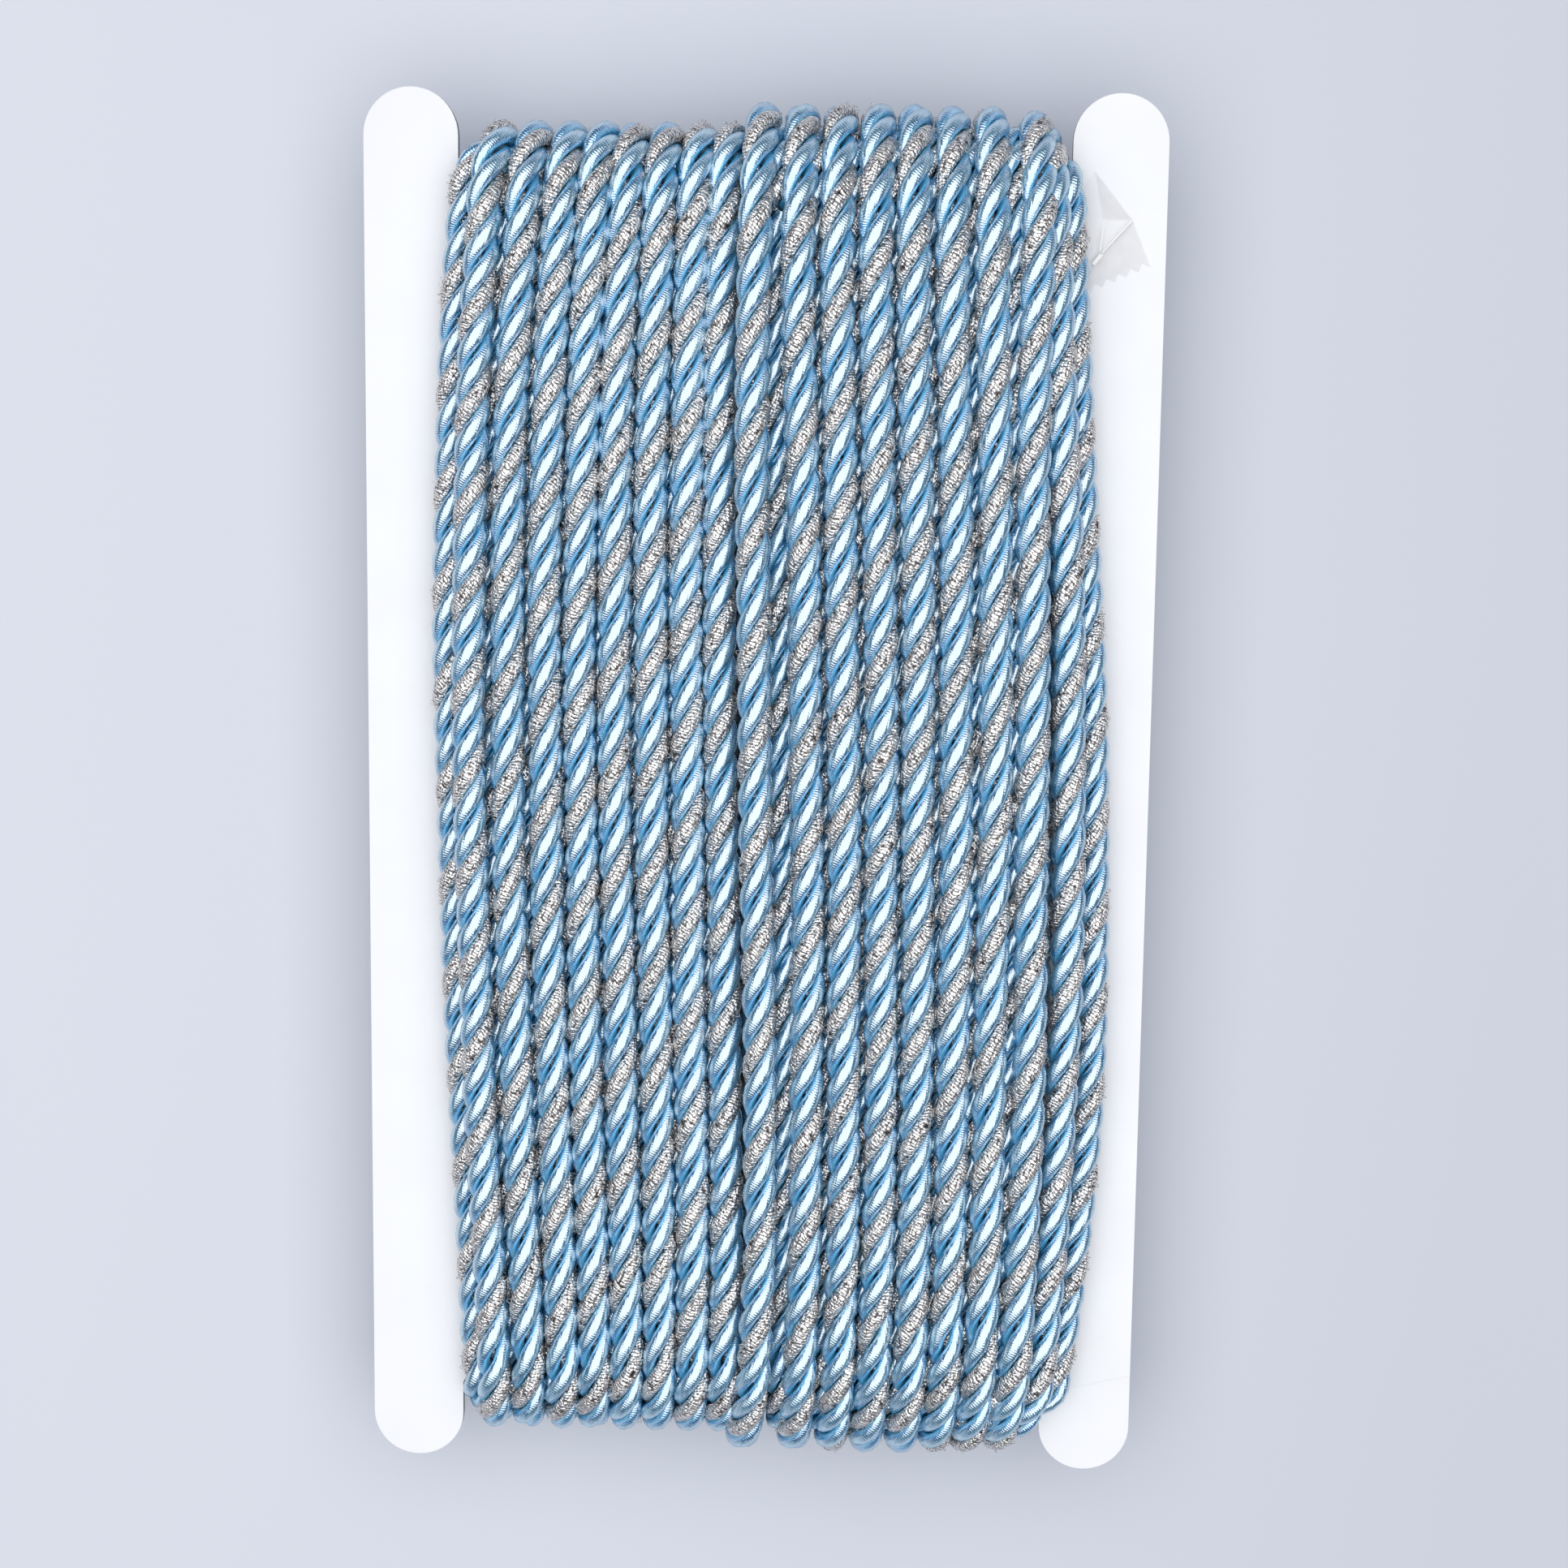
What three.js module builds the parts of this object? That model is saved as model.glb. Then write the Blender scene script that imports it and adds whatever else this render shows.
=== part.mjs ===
// Twisted cord trim wound on a flat winding card, in millimetres, Z up.
// It lies on its back with the card's front facing +Z.
// Three pieces: the card, the wound pack of cord around its middle, and the film that holds the cord's start.
import * as THREE from "three";

// Card: one flat board with four round lobes and a notch at each end where the cord passes.
const CARD_WIDTH = 112;
const CARD_LENGTH = 198.8;
const CARD_THICK = 1.5;
const NOTCH_HALF_WIDTH = 42.75;
const NOTCH_DEPTH = 12.4;
const NOTCH_FILLET = 1.5;
const CURVE_STEPS = 12;

// Cord and pack.
const CORD_DIA = 5;
const PIECE_GAP = 0.3;
const LAYER_RISE = 3.75;
const CREST_FALL = 0.1;
const RIDGE_PARTS = [0.25, 0.42, 0.58, 0.75];
const LOOP_SHRINK = { top: 0.27, bottom: 0.33 };
const LOOP_LEAN_TOP = 0.8;
const LOOP_STRETCH = 0.075;
const LEAN_FROM = 64;
const LEAN_SHARE = 0.2;
const SQUEEZE_POWER = 6;
const SIDE_FOOT = 0.9;
const BACK_BOW = 0.055;
const FRONT_UNEVEN = 0.18;
const NOTCH_STATIONS = 10;
const FLAT_STATIONS = [-1, -0.93, -0.82, -0.64, -0.43, -0.21, 0, 0.21, 0.43, 0.64, 0.82, 0.93];

// Heights up the card at which the middle of each visible turn was measured.
const TURN_HEIGHTS = { bottom: -80, lower: -23, upper: 45, top: 87 };

// One row for each turn that shows on the front, from left to right: its layer, where its middle lies,
// and how far the loop at the bottom leans over.
const TURNS = [
  { layer: 1, bottom: -40.2, lower: -42.8, upper: -43.5, top: -41.2, lean: -0.2 },
  { layer: 2, bottom: -37.2, lower: -39.9, upper: -40.2, top: -38.0, lean: -0.7 },
  { layer: 2, bottom: -32.1, lower: -34.5, upper: -34.8, top: -32.7, lean: -0.8 },
  { layer: 2, bottom: -27.1, lower: -29.2, upper: -29.6, top: -27.6, lean: -0.8 },
  { layer: 2, bottom: -22.4, lower: -24.3, upper: -24.7, top: -23.0, lean: -0.9 },
  { layer: 2, bottom: -17.7, lower: -19.3, upper: -20.0, top: -18.7, lean: -0.9 },
  { layer: 2, bottom: -12.9, lower: -14.2, upper: -15.0, top: -14.1, lean: -1.0 },
  { layer: 2, bottom: -8.1, lower: -9.2, upper: -10.0, top: -9.4, lean: -1.0 },
  { layer: 2, bottom: -3.4, lower: -4.2, upper: -5.5, top: -5.2, lean: -1.0 },
  { layer: 3, bottom: 1.6, lower: 0.8, upper: -0.8, top: -0.8, lean: -2.8 },
  { layer: 3, bottom: 7.8, lower: 7.7, upper: 6.1, top: 4.5, lean: -1.4 },
  { layer: 3, bottom: 13.4, lower: 12.9, upper: 11.3, top: 9.8, lean: -1.5 },
  { layer: 3, bottom: 18.5, lower: 18.1, upper: 16.6, top: 15.0, lean: -1.6 },
  { layer: 3, bottom: 23.6, lower: 23.2, upper: 21.8, top: 20.1, lean: -1.4 },
  { layer: 2.9, bottom: 28.6, lower: 28.4, upper: 27.1, top: 25.3, lean: -1.3 },
  { layer: 2.9, bottom: 33.7, lower: 33.7, upper: 32.6, top: 30.7, lean: -1.3 },
  { layer: 2.7, bottom: 38.4, lower: 39.2, upper: 37.9, top: 37.6, lean: -0.4 },
  { layer: 2, bottom: 42.3, lower: 44.4, upper: 42.3, top: 39.2, lean: -0.2 },
  { layer: 1, bottom: 45.2, lower: 48.4, upper: 44.9, top: 41.8, lean: 0 },
];

// Film on the right flange: its outline from under the cord, out to the tip, and back along a pinked edge.
const FILM_THICK = 1;
const FILM_EDGE = [
  { x: 46.0, y: 73.2 },
  { x: 44.7, y: 86.5 },
  { x: 46.4, y: 88.8 },
  { x: 51.4, y: 82.4 },
  { x: 54.1, y: 75.8 },
];
const FILM_TEETH = 5;
const FILM_TOOTH_DEPTH = 0.9;

const CORD_R = CORD_DIA / 2;
const HALF_THICK = CARD_THICK / 2;
const INNER_HEIGHT = HALF_THICK + PIECE_GAP + 0.05;
const NOTCH_FLOOR = CARD_LENGTH / 2 - NOTCH_DEPTH;
const CREST_HEIGHT = CORD_R - CREST_FALL;
const LAYERS = 3;
const layerHeight = (layer) => HALF_THICK + PIECE_GAP + CORD_R + (layer - 1) * LAYER_RISE;
const CARD_MID_Z = layerHeight(LAYERS) + CREST_HEIGHT;
const TURN_END_LIMIT = NOTCH_HALF_WIDTH - PIECE_GAP - CORD_R - 0.05;

function piece(name, geometry, colour, roughness) {
  const mesh = new THREE.Mesh(geometry, new THREE.MeshStandardMaterial({ color: colour, roughness }));
  mesh.name = name;
  return mesh;
}

function cardShape() {
  const halfW = CARD_WIDTH / 2;
  const lobeR = (halfW - NOTCH_HALF_WIDTH) / 2;
  const lobeX = NOTCH_HALF_WIDTH + lobeR;
  const lobeY = CARD_LENGTH / 2 - lobeR;
  const filletX = NOTCH_HALF_WIDTH - NOTCH_FILLET;
  const filletY = NOTCH_FLOOR + NOTCH_FILLET;
  const quarter = Math.PI / 2;
  const shape = new THREE.Shape();
  shape.moveTo(halfW, -lobeY);
  shape.lineTo(halfW, lobeY);
  shape.absarc(lobeX, lobeY, lobeR, 0, 2 * quarter, false);
  shape.lineTo(NOTCH_HALF_WIDTH, filletY);
  shape.absarc(filletX, filletY, NOTCH_FILLET, 0, -quarter, true);
  shape.lineTo(-filletX, NOTCH_FLOOR);
  shape.absarc(-filletX, filletY, NOTCH_FILLET, -quarter, -2 * quarter, true);
  shape.lineTo(-NOTCH_HALF_WIDTH, lobeY);
  shape.absarc(-lobeX, lobeY, lobeR, 0, 2 * quarter, false);
  shape.lineTo(-halfW, -lobeY);
  shape.absarc(-lobeX, -lobeY, lobeR, 2 * quarter, 4 * quarter, false);
  shape.lineTo(-NOTCH_HALF_WIDTH, -filletY);
  shape.absarc(-filletX, -filletY, NOTCH_FILLET, 2 * quarter, quarter, true);
  shape.lineTo(filletX, -NOTCH_FLOOR);
  shape.absarc(filletX, -filletY, NOTCH_FILLET, quarter, 0, true);
  shape.lineTo(NOTCH_HALF_WIDTH, -lobeY);
  shape.absarc(lobeX, -lobeY, lobeR, 2 * quarter, 4 * quarter, false);
  return shape;
}

function windingCard() {
  const geometry = new THREE.ExtrudeGeometry(cardShape(), {
    depth: CARD_THICK,
    bevelEnabled: false,
    curveSegments: CURVE_STEPS,
  });
  geometry.translate(0, 0, CARD_MID_Z - HALF_THICK);
  return geometry;
}

// How far a loop reaches along the card: turns further out fall away over a longer stretch.
function loopReach(h) {
  return h * (1 + LOOP_STRETCH * (h - INNER_HEIGHT));
}

// Where the straight part of a turn ends: turns further out are drawn tighter and end sooner.
function straightEnd(end, h) {
  return NOTCH_FLOOR + h - LOOP_SHRINK[end] * (h - INNER_HEIGHT) - loopReach(h);
}

// Smooth curve through the four measured places of one turn.
function frontX(turn, y) {
  const heights = Object.entries(TURN_HEIGHTS);
  return heights.reduce((sum, [name, at]) => {
    const others = heights.filter(([other]) => other !== name);
    const weight = others.reduce((share, [, height]) => (share * (y - height)) / (at - height), 1);
    return sum + turn[name] * weight;
  }, 0);
}

function leanOf(turn, end) {
  return end === "top" ? LOOP_LEAN_TOP : turn.lean;
}

// Where a turn lies across the front, with the lean that its last stretch takes up before each loop.
function frontPlace(turn, y) {
  const end = y > 0 ? "top" : "bottom";
  const run = straightEnd(end, layerHeight(turn.layer)) - LEAN_FROM;
  const into = Math.min(Math.max((Math.abs(y) - LEAN_FROM) / run, 0), 1);
  return frontX(turn, y) + LEAN_SHARE * into ** 2 * (3 - 2 * into) * leanOf(turn, end);
}

// Where a turn passes through a notch: the outer turns are pressed in by the lobes beside it.
function notchX(turn, end) {
  const x = turn[end];
  const widest = TURNS[x < 0 ? 0 : TURNS.length - 1][end];
  const squeeze = Math.max(0, 1 - TURN_END_LIMIT / Math.abs(widest));
  return x * (1 - squeeze * Math.abs(x / widest) ** SQUEEZE_POWER);
}

// Where a turn lies half way round its loop, leaning over but kept clear of the lobes.
function loopX(turn, end) {
  const x = notchX(turn, end) + leanOf(turn, end);
  return Math.min(Math.max(x, -TURN_END_LIMIT), TURN_END_LIMIT);
}

// The middles of all the turns at one station of the loop round the card.
function turnCentres(station) {
  return TURNS.map((turn, index) => {
    const h = layerHeight(turn.layer);
    if (station.side === "notch") {
      const outward = station.end === "top" ? 1 : -1;
      const onFront = frontPlace(turn, outward * straightEnd(station.end, h));
      const flat = station.front ? onFront : notchX(turn, station.end);
      const hold = 1 - Math.abs(station.turn) ** 3;
      return { x: flat + (loopX(turn, station.end) - flat) * hold, h };
    }
    if (station.side === "back") {
      const along = (1 - station.t) / 2;
      const bow = 1 + BACK_BOW * (1 - station.t ** 4);
      const top = notchX(turn, "top");
      return { x: (top + (notchX(turn, "bottom") - top) * along) * bow, h };
    }
    const y = station.t * straightEnd(station.t > 0 ? "top" : "bottom", h);
    const lift = FRONT_UNEVEN * Math.sin(index * 2.4 + station.t * 3) * (1 - station.t ** 2);
    return { x: frontPlace(turn, y), h: h + lift };
  });
}

// The groove between two neighbouring turns, where their round sides meet.
function groove(a, b) {
  const dx = b.x - a.x;
  const dh = b.h - a.h;
  const apart = Math.hypot(dx, dh);
  const rise = Math.sqrt(Math.max(0, CORD_R ** 2 - (apart / 2) ** 2));
  return { x: (a.x + b.x) / 2 - (dh / apart) * rise, h: (a.h + b.h) / 2 + (dx / apart) * rise };
}

// The part of a turn's round side that shows between two grooves, with its crest pressed slightly flat.
function roundSide(centre, before, after) {
  const angleTo = (point) => {
    const angle = Math.atan2(point.h - centre.h, point.x - centre.x);
    return angle < -Math.PI / 2 ? angle + 2 * Math.PI : angle;
  };
  const from = angleTo(before);
  const to = angleTo(after);
  return RIDGE_PARTS.map((share) => {
    const angle = from + (to - from) * share;
    const rise = Math.min(CORD_R * Math.sin(angle), CREST_HEIGHT);
    return { x: centre.x + CORD_R * Math.cos(angle), h: centre.h + rise };
  });
}

// Closed section across the pack: foot, left side, every ridge, right side, foot.
function packSection(centres) {
  const first = centres[0];
  const last = centres[centres.length - 1];
  const lowSide = CORD_R * Math.SQRT1_2;
  const leftSide = { x: first.x - CORD_R, h: first.h };
  const rightSide = { x: last.x + CORD_R, h: last.h };
  const grooves = centres.slice(1).map((centre, index) => groove(centres[index], centre));
  const bounds = [leftSide, ...grooves, rightSide];
  const ridges = centres.flatMap((centre, index) => [
    bounds[index],
    ...roundSide(centre, bounds[index], bounds[index + 1]),
  ]);
  return [
    { x: first.x - SIDE_FOOT, h: INNER_HEIGHT },
    { x: first.x - lowSide, h: first.h - lowSide },
    ...ridges,
    rightSide,
    { x: last.x + lowSide, h: last.h - lowSide },
    { x: last.x + SIDE_FOOT, h: INNER_HEIGHT },
  ];
}

// Up the front, over the top notch, down the back and under the bottom notch.
function loopStations() {
  const steps = Array.from({ length: NOTCH_STATIONS }, (_, i) => 1 - (2 * i) / NOTCH_STATIONS);
  return [
    ...FLAT_STATIONS.map((t) => ({ side: "front", t })),
    ...steps.map((turn) => ({ side: "notch", end: "top", turn, front: turn > 0 })),
    ...FLAT_STATIONS.map((t) => ({ side: "back", t: -t })),
    ...steps.map((turn) => ({ side: "notch", end: "bottom", turn: -turn, front: turn < 0 })),
  ];
}

function place(station, { x, h }) {
  if (station.side === "notch") {
    const angle = (station.turn * Math.PI) / 2;
    const outward = station.end === "top" ? 1 : -1;
    const y = outward * (straightEnd(station.end, h) + loopReach(h) * Math.cos(angle));
    return [x, y, CARD_MID_Z + h * Math.sin(angle)];
  }
  const face = station.side === "front" ? 1 : -1;
  return [x, station.t * straightEnd(station.t > 0 ? "top" : "bottom", h), CARD_MID_Z + face * h];
}

function woundCord() {
  const stations = loopStations();
  const rings = stations.map((station) => packSection(turnCentres(station)).map((p) => place(station, p)));
  const around = rings[0].length;
  const index = [];
  rings.forEach((_, s) => {
    const next = (s + 1) % rings.length;
    for (let p = 0; p < around; p += 1) {
      const q = (p + 1) % around;
      const corners = [s * around + p, s * around + q, next * around + q, next * around + p];
      index.push(corners[0], corners[1], corners[2], corners[0], corners[2], corners[3]);
    }
  });
  const geometry = new THREE.BufferGeometry();
  geometry.setAttribute("position", new THREE.Float32BufferAttribute(rings.flat(2), 3));
  geometry.setIndex(index);
  geometry.computeVertexNormals();
  return geometry;
}

function endFilm() {
  const [inner] = FILM_EDGE;
  const tip = FILM_EDGE[FILM_EDGE.length - 1];
  const shape = new THREE.Shape(FILM_EDGE.map(({ x, y }) => new THREE.Vector2(x, y)));
  const run = new THREE.Vector2(inner.x - tip.x, inner.y - tip.y);
  const inward = new THREE.Vector2(run.y, -run.x).normalize().multiplyScalar(FILM_TOOTH_DEPTH);
  for (let i = 1; i < 2 * FILM_TEETH; i += 1) {
    const part = i / (2 * FILM_TEETH);
    const bite = i % 2;
    shape.lineTo(tip.x + run.x * part + inward.x * bite, tip.y + run.y * part + inward.y * bite);
  }
  shape.closePath();
  const geometry = new THREE.ExtrudeGeometry(shape, { depth: FILM_THICK, bevelEnabled: false });
  geometry.translate(0, 0, CARD_MID_Z + HALF_THICK + PIECE_GAP);
  return geometry;
}

const part = new THREE.Group();
part.name = "twisted_cord_on_card";
part.add(piece("winding_card", windingCard(), 0xf4f5f9, 0.35));
part.add(piece("wound_cord", woundCord(), 0x8fc3e6, 0.5));
part.add(piece("end_film", endFilm(), 0xe9ebee, 0.2));

export default part;
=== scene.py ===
import math
from collections import namedtuple

import bpy
import numpy as np
from mathutils import Matrix, Vector


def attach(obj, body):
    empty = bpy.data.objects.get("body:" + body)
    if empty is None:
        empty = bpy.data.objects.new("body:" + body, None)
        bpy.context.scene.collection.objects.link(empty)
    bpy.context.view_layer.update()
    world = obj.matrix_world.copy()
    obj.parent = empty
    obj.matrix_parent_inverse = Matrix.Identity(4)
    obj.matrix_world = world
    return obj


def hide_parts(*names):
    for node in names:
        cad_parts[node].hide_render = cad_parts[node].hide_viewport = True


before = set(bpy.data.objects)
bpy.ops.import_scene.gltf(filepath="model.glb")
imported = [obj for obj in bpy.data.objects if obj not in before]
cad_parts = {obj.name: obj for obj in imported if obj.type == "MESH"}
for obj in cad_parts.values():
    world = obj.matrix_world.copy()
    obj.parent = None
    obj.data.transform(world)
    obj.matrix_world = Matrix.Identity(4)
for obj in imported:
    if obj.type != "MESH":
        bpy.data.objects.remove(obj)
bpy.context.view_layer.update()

# Winding card
# One flat board, white and lightly coated, die cut with four round lobes and a notch at each end.
# It lies level, held up by the turns of cord behind it, and its cut edge is painted a dark warm grey as
# shade, so it shows as a thin line.
# Sizes are in millimetres, and MM carries them into the scene's metres.

MM = 0.001
CARD_MID_Z = 13.45
CARD_HALF_THICK = 0.75
CARD_WHITE = (0.875, 0.885, 0.92, 1)
CARD_EDGE_SHADE = (0.13, 0.115, 0.105, 1)
CARD_SHADE = (0.965, 1.0)
CARD_ROUGHNESS = (0.30, 0.42)
CARD_IOR = 1.45
CARD_BUMP = 0.6
CARD_BUMP_DEPTH = 0.1
MOTTLE_SCALE = 90.0
MOTTLE_DETAIL = 3.0
MOTTLE_SPAN = (0.3, 0.7)
MOTTLE_RELIEF = 0.25
LEVEL_ENOUGH = 0.5
CREASE_FROM = (48.0, -86.6)
CREASE_TO = (56.3, -84.7)
CREASE_HALF_WIDTH = 0.35
CREASE_LEAD = 1.0


def fill(tree, node, inputs):
    """Link a node's inputs, or set those that are plain values."""
    for key, value in inputs.items():
        if isinstance(value, bpy.types.NodeSocket):
            tree.links.new(value, node.inputs[key])
        else:
            node.inputs[key].default_value = value


def add(tree, kind, inputs=None, **settings):
    node = tree.nodes.new(kind)
    for key, value in settings.items():
        setattr(node, key, value)
    fill(tree, node, inputs or {})
    return node


def math_node(tree, operation, a, b=0.0, c=0.0, clamp=False):
    return add(tree, "ShaderNodeMath", {0: a, 1: b, 2: c}, operation=operation, use_clamp=clamp).outputs[0]


def ranged(tree, value, span, result=(0.0, 1.0)):
    """A value carried from one span to another, and held within it."""
    start, end = span
    low, high = result
    return add(tree, "ShaderNodeMapRange", {0: value, 1: start, 2: end, 3: low, 4: high}).outputs[0]


def parts_of(tree, vector):
    return add(tree, "ShaderNodeSeparateXYZ", {0: vector}).outputs


def mix_colour(tree, factor, a, b, blend="MIX"):
    node = add(tree, "ShaderNodeMix", {"Factor": factor, 6: a, 7: b}, data_type="RGBA", blend_type=blend)
    return node.outputs[2]


def noise(tree, place, scale, detail=2.0):
    return add(tree, "ShaderNodeTexNoise", {"Vector": place, "Scale": scale, "Detail": detail}).outputs[0]


def bump(tree, height, strength, depth):
    """Normal from a height, with the depth of its relief in millimetres."""
    node = add(tree, "ShaderNodeBump", {"Height": height, "Strength": strength, "Distance": depth * MM})
    return node.outputs[0]


def new_material(name):
    material = bpy.data.materials.new(name)
    material.use_nodes = True
    tree = material.node_tree
    return material, tree, tree.nodes["Principled BSDF"]


def object_place(tree):
    return add(tree, "ShaderNodeTexCoord").outputs["Object"]


def card_crease(tree, place):
    """Faint crease across one lobe, as a ridge along its line."""
    along = Vector(CREASE_TO) - Vector(CREASE_FROM)
    across = Vector((-along.y, along.x)).normalized()
    spot = parts_of(tree, place)
    from_line = math_node(
        tree,
        "ADD",
        math_node(tree, "MULTIPLY", spot["X"], across.x / MM),
        math_node(tree, "MULTIPLY_ADD", spot["Y"], across.y / MM, -across.dot(Vector(CREASE_FROM))),
    )
    near = math_node(tree, "ABSOLUTE", from_line)
    ridge = ranged(tree, near, (0.0, CREASE_HALF_WIDTH), (1.0, 0.0))
    outer = math_node(tree, "GREATER_THAN", spot["X"], (CREASE_FROM[0] - CREASE_LEAD) * MM)
    return math_node(tree, "MULTIPLY", ridge, outer)


def coated_board():
    material, tree, shader = new_material("coated_board")
    place = object_place(tree)
    facing = parts_of(tree, add(tree, "ShaderNodeNewGeometry").outputs["Normal"])
    # Cut edges are painted a dark warm grey, as shade along them.
    cut = math_node(tree, "LESS_THAN", math_node(tree, "ABSOLUTE", facing["Z"]), LEVEL_ENOUGH)
    mottle = noise(tree, place, MOTTLE_SCALE, MOTTLE_DETAIL)
    white = mix_colour(tree, 1.0, CARD_WHITE, ranged(tree, mottle, MOTTLE_SPAN, CARD_SHADE), "MULTIPLY")
    relief = math_node(tree, "MULTIPLY_ADD", mottle, MOTTLE_RELIEF, card_crease(tree, place))
    fill(tree, shader, {
        "Base Color": mix_colour(tree, cut, white, CARD_EDGE_SHADE),
        "Roughness": ranged(tree, mottle, MOTTLE_SPAN, CARD_ROUGHNESS),
        "Normal": bump(tree, relief, CARD_BUMP, CARD_BUMP_DEPTH),
        "IOR": CARD_IOR,
    })
    return material


def dress(node_name, material):
    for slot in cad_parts[node_name].material_slots:
        slot.material = material


dress("winding_card", coated_board())

# Wound cord
# One long twisted cord of three strands: two of light blue satin gimp and one of silver metallic gimp.
# It is wound round the card through both notches: a full layer, a second over it, and a third on the right.

CORD_R = 2.5
HELIX_R = 1.50
BLUE_STRAND_R = 1.20
SILVER_STRAND_R = 1.23
STRAND_FLATNESS = 0.83
SWELLS_A_METRE = 700.0
# The strands spread by this share on the front near the loops, from the first distance off the card's middle
# to the second, and from the first height to the second.
HELIX_SPREAD = 0.02
SPREAD_FROM_MIDDLE = (62.0, 82.0)
SPREAD_ABOVE = (10.0, 18.0)

# The winding: heights of its layers off the card's middle, its loops round the notches, and the cord's ends.
LAYER_RISE = 3.75
FIRST_HEIGHT = 3.55
BACK_REST_HEIGHT = 10.98
NOTCH_FLOOR = 87.0
LOOP_SHRINK_TOP = 0.27
LOOP_SHRINK_BOTTOM = 0.33
INNER_HEIGHT = 1.1
TURN_END_LIMIT = 39.9
SQUEEZE_POWER = 6
BACK_BOW = 0.055
BOW_POWER = 4
LOOP_LEAN_TOP = 0.8
LOOP_STRETCH = 0.075
LEAN_FROM = 64.0
LEAN_SHARE = 0.2
SLIP_FROM = 60.0
SLIP_RUN = 24.0
END_SLIP = 0.4
START_FROM = 68.0
TAIL_LENGTH = 24.0
TAIL_ASIDE = -4.4
PLAIN_PITCH = 14.2
HIDDEN_CROSSING_SHIFT = 5.0
HIDDEN_CROSSING_PHASE = 2.1
PATH_STEP = 1.0
TURN_HEIGHTS = np.array([-80.0, -23.0, 45.0, 87.0])

# Slow wavering of the turns on the front: how far, its phase from turn to turn, and its rate along the card.
LIFT_WAVER = (0.12, 2.4, 0.035)
SIDE_WAVER = (0.10, 1.7, 0.11)

# Turns that show, left to right: layer, middle at the four heights, one crossing of the silver strand,
# length of one twist, and how far the loop at the bottom leans over.
Turn = namedtuple("Turn", "layer middles crossing pitch lean")
TURNS = [
    Turn(1, (-40.2, -42.8, -43.5, -41.2), 3.9, 14.0, -0.2),
    Turn(2, (-37.2, -39.9, -40.2, -38.0), 4.0, 13.0, -0.7),
    Turn(2, (-32.1, -34.5, -34.8, -32.7), 2.8, 14.7, -0.8),
    Turn(2, (-27.1, -29.2, -29.6, -27.6), -1.1, 14.6, -0.8),
    Turn(2, (-22.4, -24.3, -24.7, -23.0), -0.4, 14.3, -0.9),
    Turn(2, (-17.7, -19.3, -20.0, -18.7), 4.8, 14.7, -0.9),
    Turn(2, (-12.9, -14.2, -15.0, -14.1), 5.0, 14.6, -1.0),
    Turn(2, (-8.1, -9.2, -10.0, -9.4), -2.9, 14.1, -1.0),
    Turn(2, (-3.4, -4.2, -5.5, -5.2), -3.0, 14.0, -1.0),
    Turn(3, (1.6, 0.8, -0.8, -0.8), -4.9, 14.2, -2.8),
    Turn(3, (7.8, 7.7, 6.1, 4.5), -4.8, 14.0, -1.4),
    Turn(3, (13.4, 12.9, 11.3, 9.8), 0.0, 13.9, -1.5),
    Turn(3, (18.5, 18.1, 16.6, 15.0), -5.6, 13.4, -1.6),
    Turn(3, (23.6, 23.2, 21.8, 20.1), -5.0, 13.7, -1.4),
    Turn(2.9, (28.6, 28.4, 27.1, 25.3), 3.8, 14.4, -1.3),
    Turn(2.9, (33.7, 33.7, 32.6, 30.7), -2.9, 15.4, -1.3),
    Turn(2.7, (38.4, 39.2, 37.9, 37.6), 7.0, 14.6, -0.4),
    Turn(2, (42.3, 44.4, 42.3, 39.2), 3.0, 14.3, -0.2),
    Turn(1, (45.2, 48.4, 44.9, 41.8), -3.6, 13.3, 0.0),
]


def nested(above, layer):
    """Turns of the layer beneath, each in the groove under two neighbours."""
    made = []
    for i, (a, b) in enumerate(zip(above, above[1:])):
        middles = tuple((p + q) / 2 for p, q in zip(a.middles, b.middles))
        crossing = HIDDEN_CROSSING_SHIFT * math.sin(HIDDEN_CROSSING_PHASE * i)
        made.append(Turn(layer, middles, crossing, PLAIN_PITCH, 0.0))
    return made


def winding_order():
    """Stretches of the one cord in the order it was wound, and whether each one shows."""
    third = [turn for turn in TURNS if turn.layer > 2]
    left = TURNS[:TURNS.index(third[0])]
    last_of_second, outermost = TURNS[-2:]
    under_third = nested(third, 2)
    first = nested(left[1:] + under_third + [last_of_second], 1)
    return [
        ([outermost], True),
        (first[::-1], False),
        (left, True),
        (under_third, False),
        ([last_of_second] + third[::-1], True),
    ]


def front_x(turn, y):
    """Smooth curve through the four measured places of one turn."""
    total = 0.0
    for i, height in enumerate(TURN_HEIGHTS):
        others = np.delete(TURN_HEIGHTS, i)
        total = total + turn.middles[i] * np.prod([(y - o) / (height - o) for o in others], axis=0)
    return total


def end_x(turn, top):
    """Where a turn passes through a notch, pressed in by the lobe beside it."""
    i = 3 if top else 0
    x = turn.middles[i]
    widest = TURNS[0 if x < 0 else -1].middles[i]
    squeeze = max(0.0, 1 - TURN_END_LIMIT / abs(widest))
    return x * (1 - squeeze * abs(x / widest) ** SQUEEZE_POWER)


def turn_height(turn, back=False):
    height = FIRST_HEIGHT + (turn.layer - 1) * LAYER_RISE
    return min(height, BACK_REST_HEIGHT) if back else height


def loop_reach(height):
    """How far a loop reaches along the card: turns further out fall away over a longer stretch."""
    return height * (1 + LOOP_STRETCH * (height - INNER_HEIGHT))


def straight_end(height, top):
    """How far from the card's middle a turn stays straight before its loop."""
    tighter = (LOOP_SHRINK_TOP if top else LOOP_SHRINK_BOTTOM) * (height - INNER_HEIGHT)
    return NOTCH_FLOOR + height - tighter - loop_reach(height)


def smooth(t):
    return t * t * (3 - 2 * t)


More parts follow.
